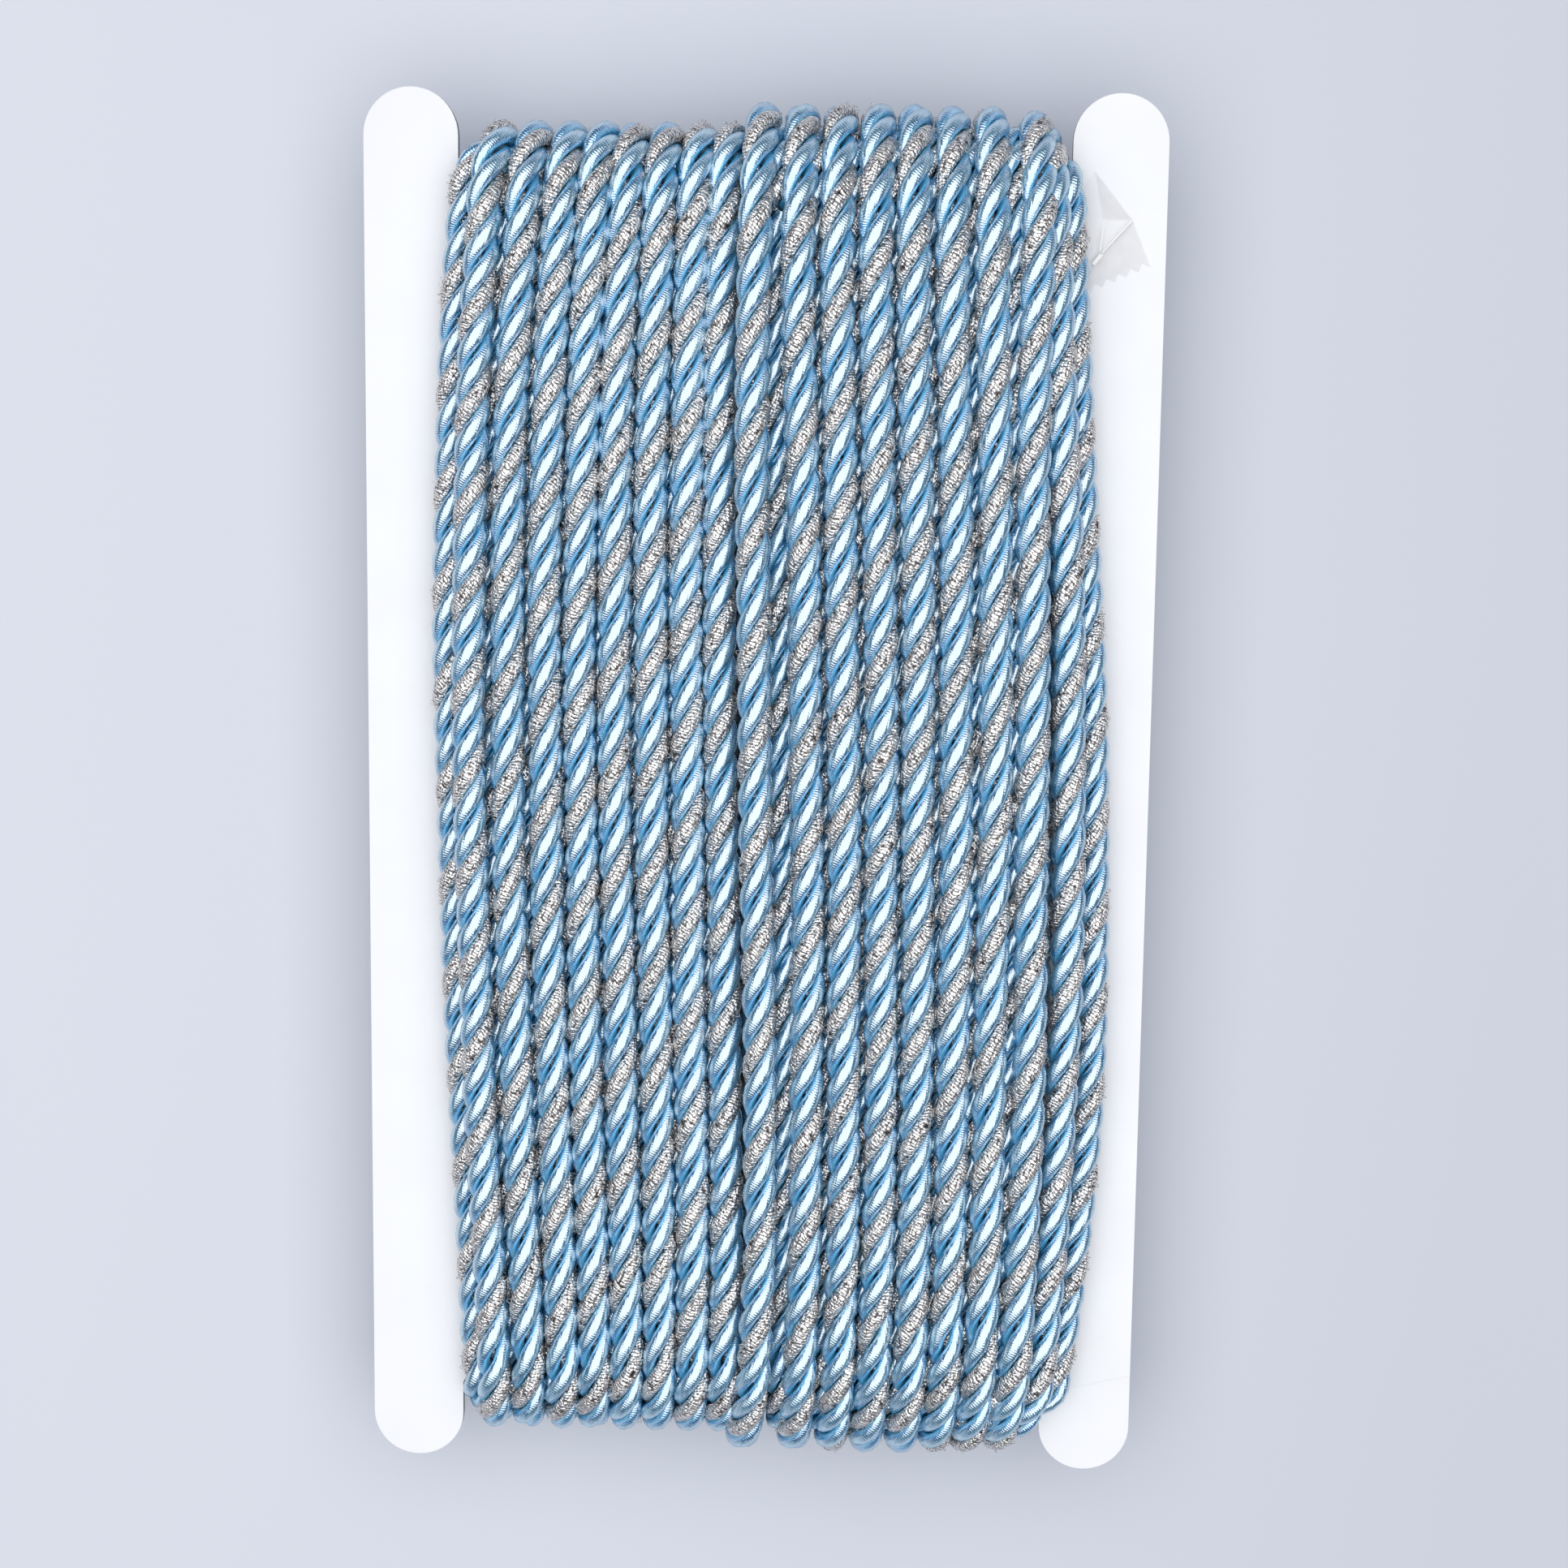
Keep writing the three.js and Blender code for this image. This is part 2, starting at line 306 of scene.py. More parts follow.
def front_place(turn, y):
    """Where a turn lies across the front, with the lean that its last stretch takes up before each loop."""
    height = turn_height(turn)
    end = np.where(y < 0, straight_end(height, False), straight_end(height, True))
    into = np.clip((np.abs(y) - LEAN_FROM) / (end - LEAN_FROM), 0.0, 1.0)
    return front_x(turn, y) + LEAN_SHARE * smooth(into) * np.where(y < 0, turn.lean, LOOP_LEAN_TOP)


def waver(kind, number, y, end):
    """Slow wavering of one turn, which dies away towards both of its ends."""
    reach, phase, rate = kind
    return reach * np.sin(number * phase + y * rate) * (1 - (y / end) ** 2)


def front_pass(turn, number):
    """Down the front of the card, from the top notch to the bottom one."""
    height = turn_height(turn)
    end = straight_end(height, True)
    y = np.arange(end, -straight_end(height, False), -PATH_STEP)
    x = front_place(turn, y) + waver(SIDE_WAVER, number, y, end)
    points = np.stack([x, y, CARD_MID_Z + height + waver(LIFT_WAVER, number, y, end)], 1)
    slip = END_SLIP * smooth(np.clip((-y - SLIP_FROM) / SLIP_RUN, 0.0, 1.0))
    twist = (y - turn.crossing + slip) * 2 * math.pi / turn.pitch
    return points, twist


def notch_pass(x_from, x_over, x_to, height_from, height_to, top):
    """Half a loop round one end of the card, front to back at the bottom and back to front at the top."""
    count = int(math.pi * loop_reach(height_from) / PATH_STEP)
    t = np.arange(count) / count
    height = height_from + (height_to - height_from) * smooth(t)
    angle = math.pi * (0.5 - t) * (-1 if top else 1)
    going = x_from + (x_over - x_from) * smooth(2 * t)
    coming = x_over + (x_to - x_over) * smooth(2 * t - 1)
    y = (1 if top else -1) * (straight_end(height, top) + loop_reach(height) * np.cos(angle))
    return np.stack([np.where(t < 0.5, going, coming), y, CARD_MID_Z + height * np.sin(angle)], 1)


def back_pass(x_from, x_to, height_from, height_to):
    """Up the back of the card to the next turn's place at the top notch."""
    y = np.arange(-straight_end(height_from, False), straight_end(height_to, True), PATH_STEP)
    t = (y - y[0]) / (y[-1] - y[0])
    bow = 1 + BACK_BOW * (1 - (2 * t - 1) ** BOW_POWER)
    height = height_from + (height_to - height_from) * smooth(t)
    return np.stack([(x_from + (x_to - x_from) * t) * bow, y, CARD_MID_Z - height], 1)


def leaning(x, lean):
    return np.clip(x + lean, -TURN_END_LIMIT, TURN_END_LIMIT)


def over_bottom(turn, x_to):
    """From the front of one turn round the bottom notch to the back."""
    height = turn_height(turn)
    start = front_place(turn, -straight_end(height, False))
    x_over = leaning(end_x(turn, False), turn.lean)
    return notch_pass(start, x_over, x_to, height, turn_height(turn, True), False)


def over_top(turn):
    """From the back round the top notch to the front of one turn."""
    height = turn_height(turn)
    x = end_x(turn, True)
    finish = front_place(turn, straight_end(height, True))
    return notch_pass(x, leaning(x, LOOP_LEAN_TOP), finish, turn_height(turn, True), height, True)


def between(turn, following):
    """Under the bottom notch, up the back and over the top notch to the following turn."""
    low = end_x(turn, False)
    up = back_pass(low, end_x(following, True), turn_height(turn, True), turn_height(following, True))
    return np.concatenate([over_bottom(turn, low), up, over_top(following)])


def first_end(turn):
    """The cord's start, held down on the back beneath the later turns, and its way over the top notch."""
    y = np.arange(START_FROM, straight_end(turn_height(turn), True), PATH_STEP)
    x = np.full(len(y), end_x(turn, True))
    low = np.full(len(y), CARD_MID_Z - turn_height(turn))
    return np.concatenate([np.stack([x, y, low], 1), over_top(turn)])


def last_end(turn):
    """The cord's tail: round the bottom notch, then aside and a short way up the back."""
    x = end_x(turn, False) + turn.lean
    height = turn_height(turn, True)
    y = np.arange(0.0, TAIL_LENGTH, PATH_STEP) - straight_end(height, False)
    t = (y - y[0]) / TAIL_LENGTH
    aside = x + TAIL_ASIDE * smooth(np.clip(2 * t, 0.0, 1.0))
    low = np.full(len(y), CARD_MID_Z - height)
    return np.concatenate([over_bottom(turn, x), np.stack([aside, y, low], 1)])


def run_along(points):
    return np.linalg.norm(np.diff(points, axis=0), axis=1).cumsum()


def wind_cord():
    """Middle line of the whole cord and its twist, and which of its points lie in the stretches that show."""
    order = [(turn, shown) for turns, shown in winding_order() for turn in turns]
    front, twist = front_pass(order[0][0], 0)
    lead = first_end(order[0][0])
    lead_run = run_along(np.concatenate([lead, front[:1]])[::-1])[::-1]
    points = [lead, front]
    twists = [twist[0] + 2 * math.pi * lead_run / PLAIN_PITCH, twist]
    flags = [np.full(len(lead), True), np.full(len(front), order[0][1])]
    for i, ((before, was_shown), (turn, shown)) in enumerate(zip(order, order[1:])):
        front, twist = front_pass(turn, i + 1)
        link = between(before, turn)
        run = run_along(np.concatenate([link, front[:1]]))
        last = twists[-1][-1]
        laps = round((last - 2 * math.pi * run[-1] / PLAIN_PITCH - twist[0]) / (2 * math.pi))
        twist = twist + 2 * math.pi * laps
        points += [link, front]
        twists += [last + (twist[0] - last) * np.concatenate([[0.0], run[:-1]]) / run[-1], twist]
        flags += [np.full(len(link), was_shown or shown), np.full(len(front), shown)]
    tail = last_end(order[-1][0])
    run = run_along(np.concatenate([points[-1][-1:], tail]))
    points.append(tail)
    twists.append(twists[-1][-1] - 2 * math.pi * run / PLAIN_PITCH)
    flags.append(np.full(len(tail), True))
    return np.concatenate(points), np.concatenate(twists), np.concatenate(flags)


def in_scene(name, data):
    """New object at the origin, linked to the scene."""
    made = bpy.data.objects.new(name, data)
    bpy.context.scene.collection.objects.link(made)
    return made


def path_object(name, points, twist, chosen):
    """Bare line mesh that carries the twist, for the strands' node tree to follow."""
    index = np.nonzero(chosen)[0]
    new_id = {old: new for new, old in enumerate(index)}
    edges = [(new_id[a], new_id[a + 1]) for a in index if a + 1 in new_id]
    mesh = bpy.data.meshes.new(name)
    mesh.from_pydata((points[index] * MM).tolist(), edges, [])
    mesh.attributes.new("twist", "FLOAT", "POINT").data.foreach_set("value", twist[index].astype(np.float32))
    return in_scene(name, mesh)


def new_tree(name, sizes):
    """Geometry Nodes tree with a geometry input, named size inputs and a geometry output."""
    tree = bpy.data.node_groups.new(name, "GeometryNodeTree")
    tree.interface.new_socket("Geometry", in_out="INPUT", socket_type="NodeSocketGeometry")
    for label, kind in sizes.items():
        tree.interface.new_socket(label, in_out="INPUT", socket_type="NodeSocket" + kind)
    tree.interface.new_socket("Geometry", in_out="OUTPUT", socket_type="NodeSocketGeometry")
    return tree, tree.nodes.new("NodeGroupInput").outputs, tree.nodes.new("NodeGroupOutput").inputs[0]


def vector_node(tree, operation, a, b=(0.0, 0.0, 0.0)):
    node = add(tree, "ShaderNodeVectorMath", {0: a, 1: b}, operation=operation)
    return node.outputs["Value" if operation in ("DOT_PRODUCT", "DISTANCE") else "Vector"]


def lengthened(tree, vector, factor):
    """A vector made longer or shorter by a factor."""
    node = add(tree, "ShaderNodeVectorMath", {0: vector, "Scale": factor}, operation="SCALE")
    return node.outputs["Vector"]


def vector_of(tree, x=0.0, y=0.0, z=0.0):
    return add(tree, "ShaderNodeCombineXYZ", {0: x, 1: y, 2: z}).outputs[0]


def position(tree):
    return add(tree, "GeometryNodeInputPosition").outputs[0]


def attribute(tree, name, kind):
    return add(tree, "GeometryNodeInputNamedAttribute", {"Name": name}, data_type=kind).outputs[0]


def keep(tree, geometry, name, kind, value):
    """Geometry that carries a value on its points under a name."""
    return add(tree, "GeometryNodeStoreNamedAttribute", {
        "Geometry": geometry,
        "Name": name,
        "Value": value,
    }, data_type=kind, domain="POINT").outputs[0]


def finished(tree, geometry, material):
    """Plain mesh with its material, as each tree ends."""
    mesh = add(tree, "GeometryNodeRealizeInstances", {0: geometry}).outputs[0]
    return add(tree, "GeometryNodeSetMaterial", {"Geometry": mesh, "Material": material}).outputs[0]


def strand_offset(tree, given):
    """From the cord's middle to one strand's middle, turned by the cord's twist and wider at the ends."""
    tangent = add(tree, "GeometryNodeInputTangent").outputs[0]
    across = (1.0, 0.0, 0.0)
    lean = vector_node(tree, "DOT_PRODUCT", tangent, across)
    side = vector_node(tree, "SUBTRACT", across, lengthened(tree, tangent, lean))
    side = vector_node(tree, "NORMALIZE", side)
    outward = vector_node(tree, "CROSS_PRODUCT", tangent, side)
    twist = attribute(tree, "twist", "FLOAT")
    angle = math_node(tree, "MULTIPLY_ADD", given["Strand"], 2 * math.pi / 3, twist)
    turned = vector_node(
        tree,
        "ADD",
        lengthened(tree, side, math_node(tree, "SINE", angle)),
        lengthened(tree, outward, math_node(tree, "COSINE", angle)),
    )
    middle = parts_of(tree, position(tree))
    from_middle = math_node(tree, "ABSOLUTE", middle["Y"])
    near_end = ranged(tree, from_middle, [distance * MM for distance in SPREAD_FROM_MIDDLE])
    in_front = ranged(tree, middle["Z"], [height * MM for height in SPREAD_ABOVE])
    spread = math_node(tree, "MULTIPLY", near_end, in_front)
    spread = math_node(tree, "MULTIPLY", spread, given["Spread at ends"])
    radius = math_node(tree, "MULTIPLY_ADD", spread, given["Helix radius"], given["Helix radius"])
    return lengthened(tree, turned, radius)


def strand_skin(tree, given, curve, length):
    """Round skin along a strand's middle line, swelling a little as it goes."""
    wander = add(tree, "ShaderNodeTexNoise", {
        "W": math_node(tree, "MULTIPLY", length, SWELLS_A_METRE),
    }, noise_dimensions="1D").outputs[0]
    swell = math_node(tree, "SUBTRACT", wander, 0.5)
    swell = math_node(tree, "MULTIPLY_ADD", swell, given["Unevenness"], 1.0)
    circle = add(tree, "GeometryNodeCurvePrimitiveCircle", {
        "Resolution": given["Sides"],
        "Radius": 1.0,
    }).outputs[0]
    return add(tree, "GeometryNodeCurveToMesh", {
        "Curve": curve,
        "Profile Curve": keep(tree, circle, "around", "FLOAT_VECTOR", position(tree)),
        "Scale": math_node(tree, "MULTIPLY", swell, given["Strand radius"]),
        "Fill Caps": True,
    }).outputs[0]


def strand_tree():
    """One strand of the cord, flattened a little on its outside, along the whole of a bare line."""
    tree, given, result = new_tree("Twisted strand", {
        "Strand": "Float",
        "Helix radius": "Float",
        "Spread at ends": "Float",
        "Strand radius": "Float",
        "Flatness": "Float",
        "Step": "Float",
        "Sides": "Int",
        "Unevenness": "Float",
        "Material": "Material",
    })
    curve = add(tree, "GeometryNodeMeshToCurve", {0: given["Geometry"]}).outputs[0]
    curve = add(tree, "GeometryNodeResampleCurve", {
        "Curve": curve,
        "Length": given["Step"],
    }, mode="LENGTH").outputs[0]
    offset = strand_offset(tree, given)
    curve = keep(tree, curve, "cord_middle", "FLOAT_VECTOR", position(tree))
    curve = add(tree, "GeometryNodeSetPosition", {"Geometry": curve, "Offset": offset}).outputs[0]
    curve = keep(tree, curve, "strand_middle", "FLOAT_VECTOR", position(tree))
    length = add(tree, "GeometryNodeSplineParameter").outputs["Length"]
    curve = keep(tree, curve, "along", "FLOAT", math_node(tree, "MULTIPLY", length, 1 / MM))
    mesh = strand_skin(tree, given, curve, length)
    middle = attribute(tree, "cord_middle", "FLOAT_VECTOR")
    core = attribute(tree, "strand_middle", "FLOAT_VECTOR")
    outward = vector_node(tree, "NORMALIZE", vector_node(tree, "SUBTRACT", core, middle))
    bulge = vector_node(tree, "DOT_PRODUCT", vector_node(tree, "SUBTRACT", position(tree), core), outward)
    pressed = math_node(tree, "MULTIPLY", bulge, math_node(tree, "SUBTRACT", given["Flatness"], 1.0))
    mesh = add(tree, "GeometryNodeSetPosition", {
        "Geometry": mesh,
        "Offset": lengthened(tree, outward, pressed),
    }).outputs[0]
    ring = parts_of(tree, attribute(tree, "around", "FLOAT_VECTOR"))
    straight = vector_of(tree, attribute(tree, "along", "FLOAT"), ring["X"], ring["Y"])
    mesh = keep(tree, mesh, "strand_place", "FLOAT_VECTOR", straight)
    away = vector_node(tree, "DISTANCE", position(tree), middle)
    mesh = keep(tree, mesh, "outness", "FLOAT", math_node(tree, "MULTIPLY", away, 1 / (CORD_R * MM)))
    mesh = add(tree, "GeometryNodeSetShadeSmooth", {"Geometry": mesh}).outputs[0]
    tree.links.new(finished(tree, mesh, given["Material"]), result)
    return tree


def grown(name, source, tree, values):
    """Plain mesh object made by running one node tree on a copy of the source."""
    carrier = in_scene(name + "_carrier", source.data)
    modifier = carrier.modifiers.new("nodes", "NODES")
    modifier.node_group = tree
    for item in tree.interface.items_tree:
        if item.item_type == "SOCKET" and item.in_out == "INPUT" and item.name in values:
            modifier[item.identifier] = values[item.name]
    evaluated = carrier.evaluated_get(bpy.context.evaluated_depsgraph_get())
    mesh = bpy.data.meshes.new_from_object(evaluated)
    mesh.name = name
    carrier.modifiers.clear()
    bpy.data.objects.remove(carrier)
    return in_scene(name, mesh)


WAVER_SCALE = 0.9
FACET_STRETCH = (1.7, 2.1, 2.1)
FILAMENT_STRETCH = (0.15, 3.6, 3.6)
FILAMENT_TURN = 0.35


def wraps_group():
    """Fine thread wound round a strand: its relief, its tone from wrap to wrap, its facets and filaments."""
    group = bpy.data.node_groups.new("Thread wraps", "ShaderNodeTree")
    for label in ("Spacing", "Slant", "Waver"):
        group.interface.new_socket(label, in_out="INPUT", socket_type="NodeSocketFloat")
    for label in ("Relief", "Tone", "Facet", "Filament"):
        group.interface.new_socket(label, in_out="OUTPUT", socket_type="NodeSocketFloat")
    given = group.nodes.new("NodeGroupInput").outputs
    place = add(group, "ShaderNodeAttribute", attribute_name="strand_place").outputs["Vector"]
    part = parts_of(group, place)
    count = math_node(group, "DIVIDE", part["X"], given["Spacing"])
    count = math_node(group, "ADD", count, math_node(group, "MULTIPLY", part["Y"], given["Slant"]))
    wavering = math_node(group, "MULTIPLY", noise(group, place, WAVER_SCALE), given["Waver"])
    count = math_node(group, "ADD", count, wavering)
    wave = math_node(group, "SINE", math_node(group, "MULTIPLY", count, 2 * math.pi))
    wrap_number = math_node(group, "FLOOR", count)
    each = add(group, "ShaderNodeTexWhiteNoise", {"W": wrap_number}, noise_dimensions="1D")
    facet_place = vector_node(group, "MULTIPLY", place, FACET_STRETCH)
    facet = add(group, "ShaderNodeTexVoronoi", {"Vector": facet_place, "Scale": 1.0}).outputs["Distance"]
    turned = add(group, "ShaderNodeVectorRotate", {
        "Vector": place,
        "Angle": math_node(group, "MULTIPLY", part["X"], FILAMENT_TURN),
    }, rotation_type="X_AXIS").outputs[0]
    drawn = vector_node(group, "MULTIPLY", turned, FILAMENT_STRETCH)
    add(group, "NodeGroupOutput", {
        "Relief": math_node(group, "MULTIPLY_ADD", wave, 0.5, 0.5),
        "Tone": each.outputs["Value"],
        "Facet": facet,
        "Filament": noise(group, drawn, 1.0, 1.0),
    })
    return group


wraps = wraps_group()

SATIN_WRAPS = {"Spacing": 0.33, "Slant": 0.3, "Waver": 0.6}
SATIN_THREAD = ((0.09, 0.28, 0.48, 1), (0.22, 0.48, 0.70, 1))
SATIN_FLANK_SHADE = (0.03, 0.20, 0.42, 1)
SATIN_VALLEY_SHADE = (0.015, 0.30, 0.74, 1)
SATIN_DEEP_REFLECTION = (0.12, 0.58, 0.95, 1)
SATIN_TINT = (0.90, 0.97, 1.0, 1)
SATIN_IOR = 3.2
SATIN_ROUGHNESS = (0.06, 0.12)
SATIN_BUMP = 0.7
SATIN_BUMP_DEPTH = 0.08
SATIN_WRAP_RELIEF = 0.35
FIBRE_SPAN = (0.35, 0.65)
RAGGED_EDGE = 0.10
# Where the painted shade of the flank and the valley, and the painted reflection of the deep, set in, in
# shares of the cord's radius.
FLANK_SHADE_SPAN = (1.01, 0.985)
VALLEY_SHADE_SPAN = (0.955, 0.925)
DEEP_REFLECTION_SPAN = (0.875, 0.845)


def satin_gimp():
    """Light blue satin thread, with painted shade on its flanks, a deeper painted shade of clear blue in the
    valleys between the strands, and a bright blue painted reflection deepest down.
    """
    material, tree, shader = new_material("blue_satin_gimp")
    thread = add(tree, "ShaderNodeGroup", SATIN_WRAPS, node_tree=wraps).outputs
    outness = add(tree, "ShaderNodeAttribute", attribute_name="outness").outputs["Fac"]
    ragged = math_node(tree, "MULTIPLY_ADD", thread["Filament"], RAGGED_EDGE, outness)
    # Painted shade on the flanks and in the valleys, and a painted reflection deepest down, set by how far
    # each point lies from the cord's middle.
    flank_shade = ranged(tree, ragged, FLANK_SHADE_SPAN)
    colour = mix_colour(tree, ranged(tree, thread["Filament"], FIBRE_SPAN), *SATIN_THREAD)
    colour = mix_colour(tree, flank_shade, colour, SATIN_FLANK_SHADE)
    colour = mix_colour(tree, ranged(tree, ragged, VALLEY_SHADE_SPAN), colour, SATIN_VALLEY_SHADE)
    height = math_node(tree, "MULTIPLY_ADD", thread["Relief"], SATIN_WRAP_RELIEF, thread["Filament"])
    fill(tree, shader, {
        "Base Color": mix_colour(tree, ranged(tree, ragged, DEEP_REFLECTION_SPAN), colour, SATIN_DEEP_REFLECTION),
        "Roughness": ranged(tree, flank_shade, (0.0, 1.0), SATIN_ROUGHNESS),
        "Normal": bump(tree, height, SATIN_BUMP, SATIN_BUMP_DEPTH),
        "IOR": SATIN_IOR,
        "Specular Tint": SATIN_TINT,
        "Specular IOR Level": 1.0,
    })
    return material


SILVER_WRAPS = {"Spacing": 0.42, "Slant": 0.5, "Waver": 2.0}
SILVER_BRIGHT = ((0.82, 0.80, 0.80, 1), (0.95, 0.94, 0.94, 1))
SILVER_PIT_SHADE = (0.06, 0.05, 0.05, 1)
SILVER_ROUGHNESS = (0.10, 0.30)
SILVER_METALLIC = 0.85
SILVER_BUMP_DEPTH = 0.04
SILVER_FACET_RELIEF = -6.0
GAP_SHADE_SPAN = (0.0, 0.22)
PIT_SHADE_SPAN = (0.95, 0.65)


def silver_gimp():
    """Silver metallic thread: many small bright facets, with painted shade darkening the gaps between its
    wraps and the pits between the facets.
    """
    material, tree, shader = new_material("silver_metallic_gimp")
    wire = add(tree, "ShaderNodeGroup", SILVER_WRAPS, node_tree=wraps).outputs
    # Painted shade: dark in the gaps between wraps and in the pits between facets.
    gap_shade_mask = ranged(tree, wire["Relief"], GAP_SHADE_SPAN)
    clear_of_painted_shade = math_node(tree, "MULTIPLY", gap_shade_mask, ranged(tree, wire["Facet"], PIT_SHADE_SPAN))
    bright = mix_colour(tree, wire["Tone"], *SILVER_BRIGHT)
    height = math_node(tree, "MULTIPLY_ADD", wire["Facet"], SILVER_FACET_RELIEF, wire["Relief"])
    fill(tree, shader, {
        "Base Color": mix_colour(tree, clear_of_painted_shade, SILVER_PIT_SHADE, bright),
        "Roughness": ranged(tree, wire["Tone"], (0.0, 1.0), SILVER_ROUGHNESS),
        "Normal": bump(tree, height, 1.0, SILVER_BUMP_DEPTH),
        "Metallic": SILVER_METALLIC,
        "Specular IOR Level": 1.0,
    })
    return material


WIRE_SHADES = ((0.45, 0.42, 0.41, 1), (1.0, 1.0, 1.0, 1))
WIRE_PATCH_SCALE = 1500.0
WIRE_PATCH_SPAN = (0.35, 0.65)
WIRE_ROUGHNESS = (0.15, 0.40)
WIRE_METALLIC = 0.8


def stray_wire_metal():
    material, tree, shader = new_material("stray_silver_wire")
    patch = noise(tree, object_place(tree), WIRE_PATCH_SCALE)
    fill(tree, shader, {
        "Base Color": mix_colour(tree, ranged(tree, patch, WIRE_PATCH_SPAN), *WIRE_SHADES),
        "Roughness": ranged(tree, patch, (0.0, 1.0), WIRE_ROUGHNESS),
        "Metallic": WIRE_METALLIC,
    })
    return material


WIRES_A_SQUARE_METRE = 350000.0
WIRES_OUTSIDE_FROM = 0.9
WIRES_ABOVE = 1.2
WIRE_R = 0.035
WIRE_SIDES = 3
HOOP_WIDTH = 0.55
HOOP_HEIGHT = 0.4
HOOP_STEPS = 3
HOOP_SIZES = (0.6, 1.4)
HOOP_TURNS = (0.0, math.pi)
HOOP_SEED = 7


def wire_hoop(tree, given):
    """One small arch of wire, from foot to foot along X."""
    half = math_node(tree, "MULTIPLY", given["Hoop width"], 0.5)
    arch = add(tree, "GeometryNodeCurveQuadraticBezier", {
        "Resolution": HOOP_STEPS,
        "Start": vector_of(tree, math_node(tree, "MULTIPLY", half, -1.0)),
        "Middle": vector_of(tree, z=math_node(tree, "MULTIPLY", given["Hoop height"], 2.0)),
        "End": vector_of(tree, half),
    }).outputs[0]
    wire = add(tree, "GeometryNodeCurvePrimitiveCircle", {
        "Resolution": WIRE_SIDES,
        "Radius": given["Wire radius"],
    }).outputs[0]
    return add(tree, "GeometryNodeCurveToMesh", {
        "Curve": arch,
        "Profile Curve": wire,
        "Fill Caps": False,
    }).outputs[0]


def random_value(tree, limits, seed):
    low, high = limits
    node = add(tree, "FunctionNodeRandomValue", {2: low, 3: high, "Seed": seed}, data_type="FLOAT")
    return node.outputs[1]


def stray_wire_tree():
    """Small hoops of wire that stand off the silver strand where it lies open on the cord's outside."""
    tree, given, result = new_tree("Stray wires", {
        "Density": "Float",
        "Outside from": "Float",
        "Above": "Float",
        "Hoop width": "Float",
        "Hoop height": "Float",
        "Wire radius": "Float",
        "Seed": "Int",
        "Material": "Material",
    })
    outside = math_node(tree, "GREATER_THAN", attribute(tree, "outness", "FLOAT"), given["Outside from"])
    clear = math_node(tree, "GREATER_THAN", parts_of(tree, position(tree))["Z"], given["Above"])
    scatter = add(tree, "GeometryNodeDistributePointsOnFaces", {
        "Mesh": given["Geometry"],
        "Selection": math_node(tree, "MULTIPLY", outside, clear),
        "Density": given["Density"],
        "Seed": given["Seed"],
    }).outputs
    many = add(tree, "GeometryNodeInstanceOnPoints", {
        "Points": scatter["Points"],
        "Instance": wire_hoop(tree, given),
        "Rotation": scatter["Rotation"],
        "Scale": random_value(tree, HOOP_SIZES, given["Seed"]),
    }).outputs[0]
    many = add(tree, "GeometryNodeRotateInstances", {
        "Instances": many,
        "Rotation": vector_of(tree, z=random_value(tree, HOOP_TURNS, given["Seed"])),
    }).outputs[0]
    tree.links.new(finished(tree, many, given["Material"]), result)
    return tree


OUTER_STEP = 1.05
INNER_STEP = 1.9
points, twist, shows = wind_cord()
outer_path = path_object("outer_path", points, twist, shows)
inner_path = path_object("inner_path", points, twist, ~shows)
strands = strand_tree()
blue = satin_gimp()
silver = silver_gimp()
cord_pieces = []
# Strands: line, place round the cord in thirds of a turn, radius, step, sides, unevenness and material.
# The two blue strands that show are set a little apart from each other.
for name, path, place, radius, step, sides, uneven, material in (
    ("silver_strand", outer_path, 0.0, SILVER_STRAND_R, OUTER_STEP, 10, 0.10, silver),
    ("blue_strand_one", outer_path, 0.96, BLUE_STRAND_R, OUTER_STEP, 12, 0.04, blue),
    ("blue_strand_two", outer_path, 2.04, BLUE_STRAND_R, OUTER_STEP, 12, 0.04, blue),
    ("silver_strand_beneath", inner_path, 0.0, SILVER_STRAND_R, INNER_STEP, 6, 0.0, silver),
    ("blue_strand_one_beneath", inner_path, 1.0, BLUE_STRAND_R, INNER_STEP, 6, 0.0, blue),
    ("blue_strand_two_beneath", inner_path, 2.0, BLUE_STRAND_R, INNER_STEP, 6, 0.0, blue),
):
    piece = grown(name, path, strands, {
        "Strand": place,
        "Helix radius": HELIX_R * MM,
        "Spread at ends": HELIX_SPREAD,
        "Strand radius": radius * MM,
        "Flatness": STRAND_FLATNESS,
        "Step": step * MM,
        "Sides": sides,
        "Unevenness": uneven,
        "Material": material,
    })
    cord_pieces.append(piece)
cord_pieces.append(grown("stray_silver_wires", cord_pieces[0], stray_wire_tree(), {
    "Density": WIRES_A_SQUARE_METRE,
    "Outside from": WIRES_OUTSIDE_FROM,
    "Above": WIRES_ABOVE * MM,
    "Hoop width": HOOP_WIDTH * MM,
    "Hoop height": HOOP_HEIGHT * MM,
    "Wire radius": WIRE_R * MM,
    "Seed": HOOP_SEED,
    "Material": stray_wire_metal(),
}))
for path in (outer_path, inner_path):
    bpy.data.objects.remove(path)
for piece in cord_pieces:
    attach(piece, "root")
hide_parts("wound_cord")

# End film
# A short length of clear adhesive film, stuck over the cord's start and onto the card's right flange.
# It is folded over on itself along a slanting crease, and its free end is cut with a pinked edge.

FILM_THICK = 0.1
FILM_TEETH = 5
FILM_TOOTH_DEPTH = 0.9
